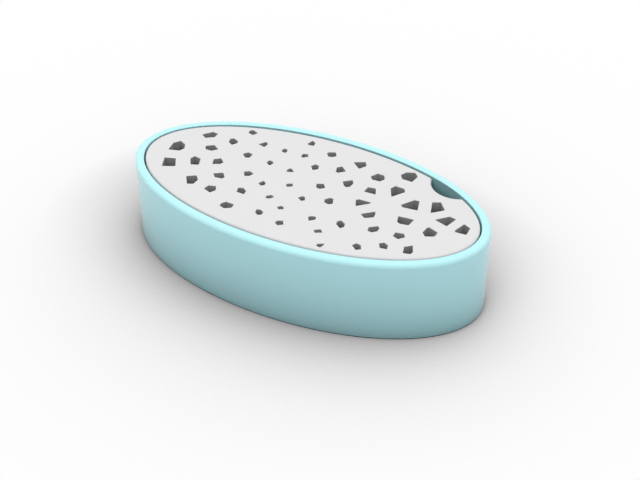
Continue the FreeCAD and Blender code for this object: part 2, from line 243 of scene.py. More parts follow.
def rounded_outline(corners: Sequence[Vector], radius: float, steps: int, air: AirSide) -> Outline:
    """Round the corners of a closed outline of straight edges.

    Args:
        corners: The corners, counterclockwise.
        radius: The radius of each rounded corner.
        steps: How many short edges go round each corner.
        air: The side of the outline that is open air.

    Returns:
        The rounded outline.
    """
    outline = Outline()
    for index, corner in enumerate(corners):
        arriving = (corner - corners[index - 1]).normalized()
        leaving = (corners[(index + 1) % len(corners)] - corner).normalized()
        bend = math.atan2(arriving.x * leaving.y - arriving.y * leaving.x, arriving.dot(leaving))
        side = math.copysign(1.0, bend)
        start = corner - arriving * radius * math.tan(abs(bend) / 2)
        centre = start + Vector((-arriving.y, arriving.x)) * radius * side
        heading = math.atan2(arriving.y, arriving.x)
        for step in range(steps + 1):
            way = heading + bend * step / steps
            left = Vector((-math.sin(way), math.cos(way)))
            outline.add(centre - left * radius * side, left * air.value)
    return outline


@dataclass
class Row:
    """A closed row of a shell's corners, with the way that the surface faces at each."""

    corners: list[int]
    facings: list[Vector]

    def turned(self, facing: Vector) -> "Row":
        """The same corners, all facing one way."""
        return Row(self.corners, [facing] * len(self.corners))


class Shell:
    """One closed surface under construction, with its exact way to face kept at every corner."""

    MERGE = 1e-7
    FLAT_MERGE = MERGE / 10
    TRIANGLES_INSIDE = 1

    def __init__(self) -> None:
        """Start with no points and no faces."""
        self.points: list[Vector] = []
        self.places: dict[tuple[int, ...], int] = {}
        self.faces: list[list[int]] = []
        self.facings: list[Vector] = []
        self.skins: list[int] = []
        self.skin = Skin.OPEN

    def corner(self, point: Vector) -> int:
        """Find the corner at a point, and make it if it is new.

        Args:
            point: The point.

        Returns:
            The corner's number.
        """
        place = tuple(round(part / self.MERGE) for part in point)
        if place not in self.places:
            self.places[place] = len(self.points)
            self.points.append(point.copy())
        return self.places[place]

    def row(self, outline: Outline, height: float, tilt: float = 0.0) -> Row:
        """Lay an outline down at a height.

        Args:
            outline: The level outline.
            height: Its height.
            tilt: How far the surface there leans up from facing sideways, as an angle.

        Returns:
            The row of corners.
        """
        corners = [self.corner(point.to_3d() + UP * height) for point in outline.points]
        lift = UP * math.sin(tilt)
        facings = [away.to_3d() * math.cos(tilt) + lift for away in outline.airward]
        return Row(corners, facings)

    def face(self, corners: Sequence[int], facings: Sequence[Vector]) -> None:
        """Add one face, without the corners that coincide.

        Args:
            corners: The numbers of its corners, in order round it.
            facings: The way that the surface faces at each.
        """
        kept: list[int] = []
        ways: list[Vector] = []
        for corner, facing in zip(corners, facings):
            if corner not in kept:
                kept.append(corner)
                ways.append(facing)
        if len(kept) > 2:
            self.faces.append(kept)
            self.facings.extend(ways)
            self.skins.append(self.skin.value)

    def join(self, first: Row, second: Row) -> None:
        """Draw the surface between two rows of the same length.

        Args:
            first: The row on one side.
            second: The row on the other.
        """
        count = len(first.corners)
        for one in range(count):
            two = (one + 1) % count
            self.face(
                (first.corners[one], first.corners[two], second.corners[two], second.corners[one]),
                (first.facings[one], first.facings[two], second.facings[two], second.facings[one]),
            )

    def join_all(self, rows: Sequence[Row]) -> None:
        """Draw the surface from each row to the next."""
        for first, second in zip(rows, rows[1:]):
            self.join(first, second)

    def cap(self, rim: Row, holes: Sequence[Row], facing: Facing) -> None:
        """Fill a level outline with triangles, and leave its holes open.

        Args:
            rim: The row round the cap.
            holes: The rows round its holes.
            facing: Whether the cap looks up or down.
        """
        numbers: list[int] = []
        loops: list[list[int]] = []
        for row in (rim, *holes):
            loop: list[int] = []
            for corner in row.corners:
                if not loop or corner != numbers[loop[-1]]:
                    loop.append(len(numbers))
                    numbers.append(corner)
            loops.append(loop)
        flat = [self.points[number].to_2d() for number in numbers]
        _, _, triangles, origins, _, owners = delaunay_2d_cdt(
            flat, [], loops, self.TRIANGLES_INSIDE, self.FLAT_MERGE, True
        )
        way = UP * facing.value
        for triangle, owner in zip(triangles, owners):
            if list(owner) != [0]:
                continue
            ends = [numbers[origins[end][0]] for end in triangle]
            if facing is Facing.DOWN:
                ends.reverse()
            self.face(ends, [way] * len(ends))

    def build(self, name: str) -> bpy.types.Object:
        """Make the mesh object.

        Args:
            name: The name of the piece.

        Returns:
            The new object, in the scene.
        """
        mesh = bpy.data.meshes.new(name)
        mesh.from_pydata(self.points, [], self.faces)
        mesh.shade_smooth()
        mesh.polygons.foreach_set("material_index", self.skins)
        mesh.normals_split_custom_set(self.facings)
        mesh.validate()
        piece = bpy.data.objects.new(name, mesh)
        bpy.context.scene.collection.objects.link(piece)
        return piece


def rolled_edge(
    shell: Shell, outline: Outline, radius: float, steps: int, level: float, facing: Facing
) -> list[Row]:
    """Lay the rows of an edge that is rolled over from a wall to a level face.

    Args:
        shell: The shell that takes the rows.
        outline: The wall's outline.
        radius: The radius of the rolled edge.
        steps: How many strips the edge has.
        level: The height of the level face.
        facing: Whether the level face looks up or down.

    Returns:
        The rows, from the wall to the level face.
    """
    rows: list[Row] = []
    for step in range(steps + 1):
        angle = QUARTER * step / steps
        height = level - facing.value * radius * (1 - math.sin(angle))
        drawn = outline.inset(radius * (1 - math.cos(angle)))
        rows.append(shell.row(drawn, height, facing.value * angle))
    return rows


@dataclass(frozen=True)
class Speckle:
    """A noise: how fine it is, how many finer layers it has, and how strong those are."""

    per_metre: float
    layers: float
    layer_strength: float


TINT_CLOUDS = Speckle(55.0, 3.0, 0.5)
SINK_MARKS = Speckle(45.0, 1.0, 0.4)


@dataclass(frozen=True)
class Wear:
    """Signs of use: where each noise begins and ends to count, and how much it dulls or polishes."""

    handling: Speckle = Speckle(32.0, 4.0, 0.6)
    handling_range: tuple[float, float] = (0.3, 0.7)
    hairlines: Speckle = Speckle(40.0, 2.0, 0.5)
    hairline_range: tuple[float, float] = (0.66, 0.72)
    hairline_turn: tuple[float, float, float] = (0.0, 0.0, 0.6)
    hairline_fineness: tuple[float, float, float] = (1.0, 60.0, 60.0)
    hairline_dulling: float = 0.05
    scuff_range: tuple[float, float] = (0.45, 0.65)
    scuff_dulling: float = 0.12
    polishing: float = 0.05


class Sum(Enum):
    """How a math node works two values together."""

    ADD = "ADD"
    SUBTRACT = "SUBTRACT"
    MULTIPLY = "MULTIPLY"
    POWER = "POWER"
    LARGER = "MAXIMUM"


class NodeBench:
    """A bench that adds and links the nodes of one node tree."""

    def __init__(self, tree: bpy.types.NodeTree) -> None:
        """Start from an empty tree."""
        tree.nodes.clear()
        self.tree = tree

    def add(self, kind: str, **settings: object) -> bpy.types.Node:
        """Add a node.

        Args:
            kind: Its kind.
            **settings: Its settings.

        Returns:
            The node.
        """
        node = self.tree.nodes.new(kind)
        for name, value in settings.items():
            setattr(node, name, value)
        return node

    def feed(self, node: bpy.types.Node, **values: SocketValue) -> bpy.types.Node:
        """Set a node's sockets.

        Args:
            node: The node.
            **values: For each socket, with _ for a space in its name, its value or what feeds it.

        Returns:
            The node.
        """
        for name, value in values.items():
            socket = node.inputs[name.replace("_", " ")]
            if isinstance(value, Socket):
                self.tree.links.new(value, socket)
            else:
                socket.default_value = value
        return node

    def noise(self, where: Socket, speckle: Speckle) -> Socket:
        """Add a noise.

        Args:
            where: The place that it is read at.
            speckle: The noise.

        Returns:
            The socket that gives it, from 0 to 1.
        """
        node = self.add("ShaderNodeTexNoise")
        self.feed(node, Vector=where, Scale=speckle.per_metre)
        self.feed(node, Detail=speckle.layers, Roughness=speckle.layer_strength)
        return node.outputs["Fac"]

    def spread(
        self, value: Socket, low: float, high: float, to_low: float = 0.0, to_high: float = 1.0
    ) -> Socket:
        """Map a value smoothly from one range to another.

        Args:
            value: The value.
            low: Where the range begins.
            high: Where the range ends.
            to_low: What the beginning gives.
            to_high: What the end gives.

        Returns:
            The socket that gives the mapped value.
        """
        node = self.add("ShaderNodeMapRange", interpolation_type="SMOOTHSTEP")
        self.feed(node, Value=value, From_Min=low, From_Max=high, To_Min=to_low, To_Max=to_high)
        return node.outputs["Result"]

    def sum(self, first: SocketValue, way: Sum, second: SocketValue) -> Socket:
        """Work two values together.

        Args:
            first: The first value, or the socket that gives it.
            way: What is done with them.
            second: The second value, or the socket that gives it.

        Returns:
            The socket that gives the result.
        """
        node = self.add("ShaderNodeMath", operation=way.value)
        for socket, value in zip(node.inputs, (first, second)):
            if isinstance(value, Socket):
                self.tree.links.new(value, socket)
            else:
                socket.default_value = value
        return node.outputs["Value"]

    def blend(self, share: Socket, first: Sequence[float], second: Sequence[float]) -> Socket:
        """Mix two colours.

        Args:
            share: How much of the second colour there is.
            first: The first colour.
            second: The second colour.

        Returns:
            The socket that gives the mixed colour.
        """
        ramp = self.add("ShaderNodeValToRGB")
        ramp.color_ramp.elements[0].color = (*first, 1.0)
        ramp.color_ramp.elements[1].color = (*second, 1.0)
        self.tree.links.new(share, ramp.inputs["Fac"])
        return ramp.outputs["Color"]


def shade(colour: Sequence[float], share: float) -> tuple[float, ...]:
    """A colour made darker or lighter by a share."""
    return tuple(min(1.0, part * share) for part in colour)


@dataclass(frozen=True)
class MouldedPlastic:
    """Injection-moulded plastic: a faint mould grain, soft sink marks, a gloss that varies, and colour
    that can be darkened towards a deep level as painted shade.
    """

    name: str
    colour: tuple[float, float, float]
    mottle: float
    roughness: float
    roughness_play: float
    grain: Speckle
    grain_height: float
    wave_height: float
    scuff_height: float
    scuff_top: float
    polish_from: float
    polish_to: float
    # Between the deep and the open level the colour is scaled from the deep share to the open share:
    # painted shade.
    deep_level: float = 0.0
    open_level: float = 0.0
    deep_share: float = 1.0
    open_share: float = 1.0
    ior: float = 1.49
    wear: Wear = Wear()

    def material(self) -> bpy.types.Material:
        """Make the material.

        Returns:
            The material, all of nodes.
        """
        made = bpy.data.materials.new(self.name)
        made.use_nodes = True
        bench = NodeBench(made.node_tree)
        place = bench.add("ShaderNodeTexCoord").outputs["Object"]
        level = bench.feed(bench.add("ShaderNodeSeparateXYZ"), Vector=place).outputs["Z"]

        darker, lighter = shade(self.colour, 1 - self.mottle), shade(self.colour, 1 + self.mottle)
        tint = bench.blend(bench.noise(place, TINT_CLOUDS), darker, lighter)
        # Painted shade: the colour gets darker the lower it lies between the deep and the open level.
        if self.deep_level < self.open_level:
            depth = bench.add("ShaderNodeMapRange")
            bench.feed(depth, Value=level, From_Min=self.deep_level, From_Max=self.open_level)
            bench.feed(depth, To_Min=self.deep_share, To_Max=self.open_share)
            shade_painted = bench.add("ShaderNodeVectorMath", operation="SCALE")
            bench.tree.links.new(tint, shade_painted.inputs[0])
            bench.feed(shade_painted, Scale=depth.outputs["Result"])
            tint = shade_painted.outputs["Vector"]

        wear = self.wear
        grain = bench.noise(place, self.grain)
        waves = bench.noise(place, SINK_MARKS)
        streak = bench.add("ShaderNodeMapping")
        bench.feed(streak, Vector=place, Rotation=wear.hairline_turn, Scale=wear.hairline_fineness)
        scratches = bench.noise(streak.outputs["Vector"], wear.hairlines)
        hairlines = bench.spread(scratches, *wear.hairline_range)

        near_foot = bench.spread(level, 0.0, self.scuff_top, 1.0, 0.0)
        rubbed = bench.spread(grain, *wear.scuff_range)
        scuffs = bench.sum(near_foot, Sum.MULTIPLY, rubbed)
        polished = bench.spread(level, self.polish_from, self.polish_to)
        handled = bench.spread(bench.noise(place, wear.handling), *wear.handling_range, -1.0, 1.0)

        rough = bench.sum(bench.sum(handled, Sum.MULTIPLY, self.roughness_play), Sum.ADD, self.roughness)
        for marks, change in (
            (hairlines, wear.hairline_dulling),
            (scuffs, wear.scuff_dulling),
            (polished, -wear.polishing),
        ):
            rough = bench.sum(rough, Sum.ADD, bench.sum(marks, Sum.MULTIPLY, change))

        shader = bench.add("ShaderNodeBsdfPrincipled")
        heights = (
            (waves, self.wave_height),
            (grain, self.grain_height),
            (bench.sum(hairlines, Sum.LARGER, scuffs), -self.scuff_height),
        )
        surface = None
        for bumps, size in heights:
            bump = bench.add("ShaderNodeBump", invert=size < 0)
            bench.feed(bump, Strength=1.0, Distance=abs(size), Height=bumps)
            if surface is not None:
                bench.feed(bump, Normal=surface)
            surface = bump.outputs["Normal"]
        bench.feed(shader, Base_Color=tint, Roughness=rough, Normal=surface, IOR=self.ior)
        bench.feed(bench.add("ShaderNodeOutputMaterial"), Surface=shader.outputs["BSDF"])
        return made


@dataclass(frozen=True)
class PaperFloor:
    """A plain white paper floor that shows white to the camera, with painted shadow where the object
    keeps light off it.

    One painted shade is for the sky that the object covers, one for the line where it touches the floor,
    and one for the light that it keeps off from the front and the right.
    """

    name: str
    reach: float
    first_shade: float
    second_shade: float
    contact_reach: float
    contact_shade: float
    cast_reach: float
    cast_way: tuple[float, float, float]
    cast_shade: float
    bounce: float
    bounce_depth: float

    def material(self) -> bpy.types.Material:
        """Make the material.

        Returns:
            The material, all of nodes.
        """
        made = bpy.data.materials.new(self.name)
        made.use_nodes = True
        bench = NodeBench(made.node_tree)
        # Painted shadow: the white glow that the camera sees is dimmed by how much sky the object
        # covers, not by the lamps.
        above = self.open_sky(bench, Distance=self.reach)
        covered = bench.sum(1.0, Sum.SUBTRACT, above)
        slope = bench.sum(bench.sum(covered, Sum.MULTIPLY, self.second_shade), Sum.ADD, self.first_shade)
        seen_light = self.dimmed(bench, 1.0, above, slope)
        beside = self.open_sky(bench, Distance=self.contact_reach)
        seen_light = self.dimmed(bench, seen_light, beside, self.contact_shade)
        lit_from = bench.add("ShaderNodeCombineXYZ")
        bench.feed(lit_from, X=self.cast_way[0], Y=self.cast_way[1], Z=self.cast_way[2])
        front = self.open_sky(bench, Distance=self.cast_reach, Normal=lit_from.outputs["Vector"])
        seen_light = self.dimmed(bench, seen_light, front, self.cast_shade)
        white = bench.feed(bench.add("ShaderNodeEmission"), Color=WHITE, Strength=seen_light)
        # Painted shade: the paper's colour for the rays that light the object is darker near it.
        shaded = bench.sum(bench.sum(above, Sum.POWER, self.bounce_depth), Sum.MULTIPLY, self.bounce)
        grey = bench.add("ShaderNodeCombineColor")
        bench.feed(grey, Red=shaded, Green=shaded, Blue=shaded)
        paper = bench.feed(bench.add("ShaderNodeBsdfDiffuse"), Color=grey.outputs["Color"])
        surface = lit_or_seen(bench, paper.outputs["BSDF"], white.outputs["Emission"])
        bench.feed(bench.add("ShaderNodeOutputMaterial"), Surface=surface)
        return made

    @staticmethod
    def open_sky(bench: NodeBench, **limits: SocketValue) -> Socket:
        """Measure how open the floor is.

        Args:
            bench: The floor's nodes.
            **limits: How far the rays look, as Distance, and which way if not up, as Normal.

        Returns:
            The socket that gives the share of rays that meet nothing.
        """
        sky = bench.feed(bench.add("ShaderNodeAmbientOcclusion", samples=SKY_SAMPLES), **limits)
        return sky.outputs["AO"]

    @staticmethod
    def dimmed(bench: NodeBench, light: SocketValue, sky: Socket, strength: SocketValue) -> Socket:
        """Dim a light where the sky is covered.

        Args:
            bench: The floor's nodes.
            light: The light.
            sky: How open the floor is there.
            strength: How much of the light is lost where it is all covered.

        Returns:
            The socket that gives the light that is left.
        """
        lost = bench.sum(bench.sum(1.0, Sum.SUBTRACT, sky), Sum.MULTIPLY, strength)
        return bench.sum(light, Sum.MULTIPLY, bench.sum(1.0, Sum.SUBTRACT, lost))


def lit_or_seen(bench: NodeBench, lit: Socket, seen: Socket) -> Socket:
    """Show one shader to the rays that light things, and another to those that show the background.

    Args:
        bench: The nodes of the material or the world.
        lit: The shader that lights things.
        seen: The shader for camera, glossy and transmission rays.

    Returns:
        The socket that gives the mixed shader.
    """
    path = bench.add("ShaderNodeLightPath").outputs
    mirrored = bench.sum(path["Is Glossy Ray"], Sum.LARGER, path["Is Transmission Ray"])
    shows = bench.sum(path["Is Camera Ray"], Sum.LARGER, mirrored)
    mix = bench.add("ShaderNodeMixShader")
    for source, socket in zip((shows, lit, seen), mix.inputs):
        bench.tree.links.new(source, socket)
    return mix.outputs["Shader"]


def dress(piece: bpy.types.Object, finishes_and_shades: Sequence[MouldedPlastic]) -> None:
    """Give a piece its materials, in the order of its skins."""
    for finish_and_shade in finishes_and_shades:
        piece.data.materials.append(finish_and_shade.material())


@dataclass
class Rib:
    """One moulded rib: the way out to it from the bowl's middle, and how far aside of that it stands."""

    outward: Vector
    aside: float


@dataclass
class Bowl:
    """The bowl: an oval cup on a standing ring, with a rolled rim and ribs that carry the plate."""

    oval: Oval
    height: float
    finishes_and_shades: tuple[MouldedPlastic, MouldedPlastic]
    wall: float = WALL
    floor_level: float = 2.8 * MM
    rim_outer_radius: float = 1.3 * MM
    rim_inner_radius: float = 0.25 * MM
    base_edge_radius: float = 0.4 * MM
    basin_corner_radius: float = 2.0 * MM
    rib_top: float = 25.15 * MM
    rib_width: float = 2.0 * MM
    rib_depth: float = 2.4 * MM
    rib_spacing: float = 26.0 * MM
    rib_edge_radius: float = 0.25 * MM
    rib_corner_radius: float = 0.35 * MM
    standing_ring: float = 4.0 * MM
    base_hollow: float = 0.6 * MM
    base_hollow_edge: float = 0.2 * MM
    stretch_length: float = 1.1 * MM
    rib_steps: int = 3
    basin_corner_steps: int = 6
    hollow_edge_steps: int = 3
    base_edge_steps: int = 6
    rim_outer_steps: int = 8
    rim_inner_steps: int = 5

    @property
    def mouth(self) -> Oval:
        """The oval of the inner wall."""
        return self.oval.grown(-self.wall)

    @property
    def ribs(self) -> list[Rib]:
        """The eight ribs.

        Returns:
            The ribs, counterclockwise from the right end.
        """
        right, back = Vector((1.0, 0.0)), Vector((0.0, 1.0))
        row = [-self.rib_spacing, 0.0, self.rib_spacing]
        return [
            Rib(right, 0.0),
            *(Rib(back, aside) for aside in row),
            Rib(-right, 0.0),
            *(Rib(-back, aside) for aside in row),
        ]

    def middle_turn(self, rib: Rib) -> float:
        """The turn on the mouth of a rib's middle."""
        return self.mouth.turn_beside(rib.outward, rib.aside)

    def rib_outline(self, rib: Rib, inset: float, trim: float) -> Outline:
        """Draw one rib as seen from above.

        Args:
            rib: The rib.
            inset: How far the wall's foot reaches into the basin at this height.
            trim: How far the rib's own faces are drawn back.

        Returns:
            The open run of points from the wall, round the rib and back to the wall.
        """
        across = Vector((-rib.outward.y, rib.outward.x))
        half = self.rib_width / 2 - trim
        front = self.mouth.grown(trim - self.rib_depth)
        before, after = rib.aside - half, rib.aside + half
        root_before = self.mouth.at(self.mouth.turn_beside(rib.outward, before, inset), inset)
        root_after = self.mouth.at(self.mouth.turn_beside(rib.outward, after, inset), inset)
        tip_before = front.at(front.turn_beside(rib.outward, before))
        tip_after = front.at(front.turn_beside(rib.outward, after))
        corners = [root_before, tip_before, tip_after, root_after]
        radius = self.rib_corner_radius - trim
        rounded = rounded_outline(corners, radius, self.rib_steps, AirSide.INSIDE)
        root_points = self.rib_steps + 1
        tips = slice(root_points, -root_points)
        points = [root_before, *rounded.points[tips], root_after]
        return Outline(points, [-across, *rounded.airward[tips], across])

    def basin_outline(self, inset: float = 0.0, trim: float = 0.0, ribbed: bool = True) -> Outline:
        """Draw the inner wall as seen from above, with a fixed count of points.

        Args:
            inset: How far the wall's foot reaches into the basin at this height.
            trim: How far the ribs' own faces are drawn back.
            ribbed: Whether the ribs stand out, or the wall runs on behind them.

        Returns:
            The outline. Each rib's two roots are there twice, once for the wall and once for the rib.
        """
        ribs = self.ribs
        half = self.rib_width / 2 - trim
        outline = Outline()
        for index, rib in enumerate(ribs):
            following = ribs[(index + 1) % len(ribs)]
            start = self.mouth.turn_beside(rib.outward, rib.aside - half, inset)
            end = self.mouth.turn_beside(rib.outward, rib.aside + half, inset)
            run = self.rib_outline(rib, inset, trim)
            count = len(run.points)
            for step, (point, airward) in enumerate(zip(run.points, run.airward)):
                turn = start + (end - start) * step / (count - 1)
                if ribbed:
                    outline.add(point, airward)
                else:
                    outline.add(self.mouth.at(turn, inset), -self.mouth.outward(turn))
            stop = self.mouth.turn_beside(following.outward, following.aside - half, inset)
            span = (stop - end) % FULL_TURN
            apart = (self.middle_turn(following) - self.middle_turn(rib)) % FULL_TURN
            pieces = round(apart * self.mouth.half_length / self.stretch_length)
            for step in range(pieces + 1):
                turn = end + span * step / pieces
                outline.add(self.mouth.at(turn, inset), -self.mouth.outward(turn))
        return outline

    def column_turns(self) -> list[float]:
        """Find the columns of the bowl's mesh.

        Returns:
            The turn on the mouth of each.
        """
        plain = self.basin_outline(trim=self.rib_edge_radius, ribbed=False)
        mouth = self.mouth
        return [math.atan2(p.y / mouth.half_width, p.x / mouth.half_length) for p in plain.points]

    @staticmethod
    def round_the(oval: Oval, turns: Sequence[float], air: AirSide) -> Outline:
        """The outline of an oval, with a point at each turn."""
        airward = [oval.outward(turn) * -air.value for turn in turns]
        return Outline([oval.at(turn) for turn in turns], airward)

    def rib_rows(self, shell: Shell) -> list[Row]:
        """Lay the rows of the ribs' rolled top edges, and keep the wall between the ribs upright.

        Args:
            shell: The bowl's shell.

        Returns:
            The rows, from the ribs' tops down.
        """
        rows: list[Row] = []
        for step in range(self.rib_steps + 1):
            angle = QUARTER * step / self.rib_steps
            trim = self.rib_edge_radius * (1 - math.sin(angle))
            level = self.rib_top - self.rib_edge_radius * (1 - math.cos(angle))
            outline = self.basin_outline(trim=trim)
            wall = self.basin_outline(trim=trim, ribbed=False)
            row = shell.row(outline, level, QUARTER - angle)
            upright = shell.row(outline, level)
            for index, (one, other) in enumerate(zip(outline.points, wall.points)):
                alike = abs(outline.airward[index].dot(wall.airward[index])) > MUCH_THE_SAME_WAY
                if (one - other).length < Shell.MERGE and alike:
                    row.facings[index] = upright.facings[index]
            rows.append(row)
        return rows

    def basin_corner_rows(self, shell: Shell) -> list[Row]:
        """Lay the rows of the rounded corner at the wall's foot, and keep the ribs upright in it.

        Args:
            shell: The bowl's shell.

        Returns:
            The rows, from the wall to the floor.
        """
        rows: list[Row] = []
        for step in range(self.basin_corner_steps + 1):
            angle = QUARTER * step / self.basin_corner_steps
            inset = self.basin_corner_radius * (1 - math.cos(angle))
            level = self.floor_level + self.basin_corner_radius * (1 - math.sin(angle))
            outline = self.basin_outline(inset=inset)
            wall = self.basin_outline(inset=inset, ribbed=False)
            row = shell.row(outline, level, angle)
            upright = shell.row(outline, level)
            for index, (one, other) in enumerate(zip(outline.airward, wall.airward)):
                if one.dot(other) < SAME_WAY:
                    row.facings[index] = upright.facings[index]
            rows.append(row)
        return rows

    def build(self) -> bpy.types.Object:
        """Make the bowl's mesh and dress it.

        Returns:
            The bowl.
        """
        shell = Shell()
        turns = self.column_turns()
        outside = self.round_the(self.oval, turns, AirSide.OUTSIDE)
        inside = self.round_the(self.mouth, turns, AirSide.INSIDE)
        under = self.round_the(self.oval.grown(-self.standing_ring), turns, AirSide.INSIDE)

        roof = shell.row(under, self.base_hollow)
        below, above = (0.0, Facing.DOWN), (self.height, Facing.UP)
        lip = rolled_edge(shell, under, self.base_hollow_edge, self.hollow_edge_steps, *below)
        foot = rolled_edge(shell, outside, self.base_edge_radius, self.base_edge_steps, *below)
        rim_out = rolled_edge(shell, outside, self.rim_outer_radius, self.rim_outer_steps, *above)
        rim_in = rolled_edge(shell, inside, self.rim_inner_radius, self.rim_inner_steps, *above)
        shell.join_all([roof, *lip, *reversed(foot), *rim_out, *reversed(rim_in)])

        # The basin's inner faces take the sheltered material, whose painted shade darkens them with
        # depth.
        shell.skin = Skin.SHELTERED
        behind_ribs = self.basin_outline(trim=self.rib_edge_radius, ribbed=False)
        wall_foot = shell.row(behind_ribs, self.rib_top)
        shell.join(rim_in[0], wall_foot)
        rib_rows = self.rib_rows(shell)
        shell.join(wall_foot.turned(UP), rib_rows[0].turned(UP))
        shell.join_all(rib_rows)
        floor_rows = [rib_rows[-1], *self.basin_corner_rows(shell)]
        shell.join_all(floor_rows)
        shell.cap(floor_rows[-1], [], Facing.UP)
        shell.skin = Skin.OPEN
        shell.cap(roof, [], Facing.DOWN)

        piece = shell.build("bowl_shell")
        dress(piece, self.finishes_and_shades)
        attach(piece, "bowl_body")
        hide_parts("bowl")
        return piece


@dataclass
class DrainPlate:
    """The drain plate: an oval slab with a finger notch and many small many-sided holes."""

    oval: Oval
    underside: float
    top: float
    finishes_and_shades: tuple[MouldedPlastic, MouldedPlastic]
    top_radius: float = 0.8 * MM
    bottom_radius: float = 0.4 * MM
    notch_shares: tuple[float, float] = (0.723, 0.857)
    notch_radius: float = 8.9 * MM
    tip_radius: float = 1.0 * MM
    hole_corner_radius: float = 0.2 * MM
    hole_edge_radius: float = 0.15 * MM
    tip_search_turn: float = 0.6
    rim_points: int = 220
    notch_points: int = 28
    tip_points: int = 6
    top_steps: int = 6
    bottom_steps: int = 4
    hole_corner_steps: int = 3
    hole_top_steps: int = 3
    hole_bottom_steps: int = 2

    def tip_turn(self, centre: Vector, low: float, high: float) -> float:
        """Find where the rounded tip beside the notch touches the oval.

        Args:
            centre: The middle of the notch.
            low: A turn at which the tip would stand clear of the notch.
            high: A turn at which it would lie inside the notch.

        Returns:
            The turn of the touching point.
        """
        reach = self.notch_radius + self.tip_radius
        return closed_in(
            low, high, lambda turn: (self.oval.at(turn, self.tip_radius) - centre).length > reach
        )

    def outline(self) -> Outline:
        """Draw the plate's rim: the oval, the notch and the two rounded tips between them.

        Returns:
            The outline.
        """
        along, across = self.notch_shares
        centre = Vector((self.oval.half_length * along, self.oval.half_width * across))
        inside = math.atan2(across, along)
        first = self.tip_turn(centre, inside - self.tip_search_turn, inside)
        last = self.tip_turn(centre, inside + self.tip_search_turn, inside)
        outline = Outline()
        span = first + FULL_TURN - last
        for step in range(self.rim_points + 1):
            turn = last + span * step / self.rim_points
            outline.add(self.oval.at(turn), self.oval.outward(turn))
        near, far = (self.oval.at(turn, self.tip_radius) for turn in (first, last))
        near_in, far_in = (centre - near).normalized(), (centre - far).normalized()
        near_out, far_out = self.oval.outward(first), self.oval.outward(last)
        self.arc(outline, near, (near_out, near_in), self.tip_radius, self.tip_points)
        self.arc(outline, centre, (-near_in, -far_in), -self.notch_radius, self.notch_points)
        self.arc(outline, far, (far_in, far_out), self.tip_radius, self.tip_points)
        return outline

    @staticmethod
    def arc(
        outline: Outline, centre: Vector, ways: tuple[Vector, Vector], radius: float, points: int
    ) -> None:
        """Add the inner points of an arc to an outline.

        Args:
            outline: The outline that takes them.
            centre: The middle of the arc.
            ways: The ways from the middle to the arc's beginning and to its end.
            radius: The radius, below zero where the air is on the middle's side.
            points: How many strips the arc has.
        """
        start, end = ways
        begin = math.atan2(start.y, start.x)
        sweep = math.atan2(start.x * end.y - start.y * end.x, start.dot(end))
        ends = 0 if radius < 0 else 1
        for step in range(ends, points + 1 - ends):
            angle = begin + sweep * step / points
            way = Vector((math.cos(angle), math.sin(angle)))
            outline.add(centre + way * abs(radius), way * math.copysign(1.0, radius))

    def hole_outlines(self) -> list[Outline]:
        """Draw the drain holes.

        Returns:
            The outline of each.
        """
        outlines: list[Outline] = []
        for shares in HOLE_CORNER_SHARES:
            corners = [Vector((self.oval.half_length * x, self.oval.half_width * y)) for x, y in shares]
            area = sum(a.x * b.y - a.y * b.x for a, b in zip(corners, corners[1:] + corners[:1]))
            if area < 0:
                corners.reverse()
            rounded = rounded_outline(
                corners, self.hole_corner_radius, self.hole_corner_steps, AirSide.INSIDE
            )
            outlines.append(rounded)
        return outlines

    def build(self) -> bpy.types.Object:
        """Make the plate's mesh and dress it.

        Returns:
            The plate.
        """
        shell = Shell()
        rim = self.outline()
        below, above = (self.underside, Facing.DOWN), (self.top, Facing.UP)
        lower = rolled_edge(shell, rim, self.bottom_radius, self.bottom_steps, *below)
        upper = rolled_edge(shell, rim, self.top_radius, self.top_steps, *above)
        shell.join_all([*reversed(lower), *upper])
        hole_tops: list[Row] = []
        hole_bottoms: list[Row] = []
        for hole in self.hole_outlines():
            roll_in = rolled_edge(shell, hole, self.hole_edge_radius, self.hole_top_steps, *above)
            roll_out = rolled_edge(shell, hole, self.hole_edge_radius, self.hole_bottom_steps, *below)
            shell.join_all(list(reversed(roll_in)))
            # The holes' walls take the sheltered material, whose painted shade darkens them with depth.
            shell.skin = Skin.SHELTERED
            shell.join(roll_in[0], roll_out[0])
            shell.skin = Skin.OPEN
            shell.join_all(roll_out)
            hole_tops.append(roll_in[-1])
            hole_bottoms.append(roll_out[-1])
        shell.cap(upper[-1], hole_tops, Facing.UP)
        shell.cap(lower[-1], hole_bottoms, Facing.DOWN)
        piece = shell.build("drain_plate_slab")
        dress(piece, self.finishes_and_shades)
        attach(piece, "plate_body")
        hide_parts("drain_plate")
        return piece


@dataclass(frozen=True)
class StudioCamera:
    """The camera at the photograph's viewing angle."""

    azimuth: float = math.radians(27.097)
    elevation: float = math.radians(37.792)
    distance: float = 421.90 * MM
    aim: tuple[float, float, float] = (2.403 * MM, 5.375 * MM, 5.025 * MM)
    lens: float = 67.94
    sensor_width: float = 36.0
    nearest: float = 0.01
    farthest: float = 20.0

    def build(self) -> None:
        """Put the camera in the scene."""
        data = bpy.data.cameras.new("studio_camera")
        data.sensor_width = self.sensor_width
        data.lens = self.lens
        data.clip_start = self.nearest
        data.clip_end = self.farthest
        camera = bpy.data.objects.new("studio_camera", data)
        bpy.context.scene.collection.objects.link(camera)
        back = Vector((
            math.sin(self.azimuth) * math.cos(self.elevation),
            -math.cos(self.azimuth) * math.cos(self.elevation),
            math.sin(self.elevation),
        ))
        camera.location = Vector(self.aim) + back * self.distance
        camera.rotation_mode = "QUATERNION"
        camera.rotation_quaternion = (-back).to_track_quat("-Z", "Y")
        bpy.context.scene.camera = camera


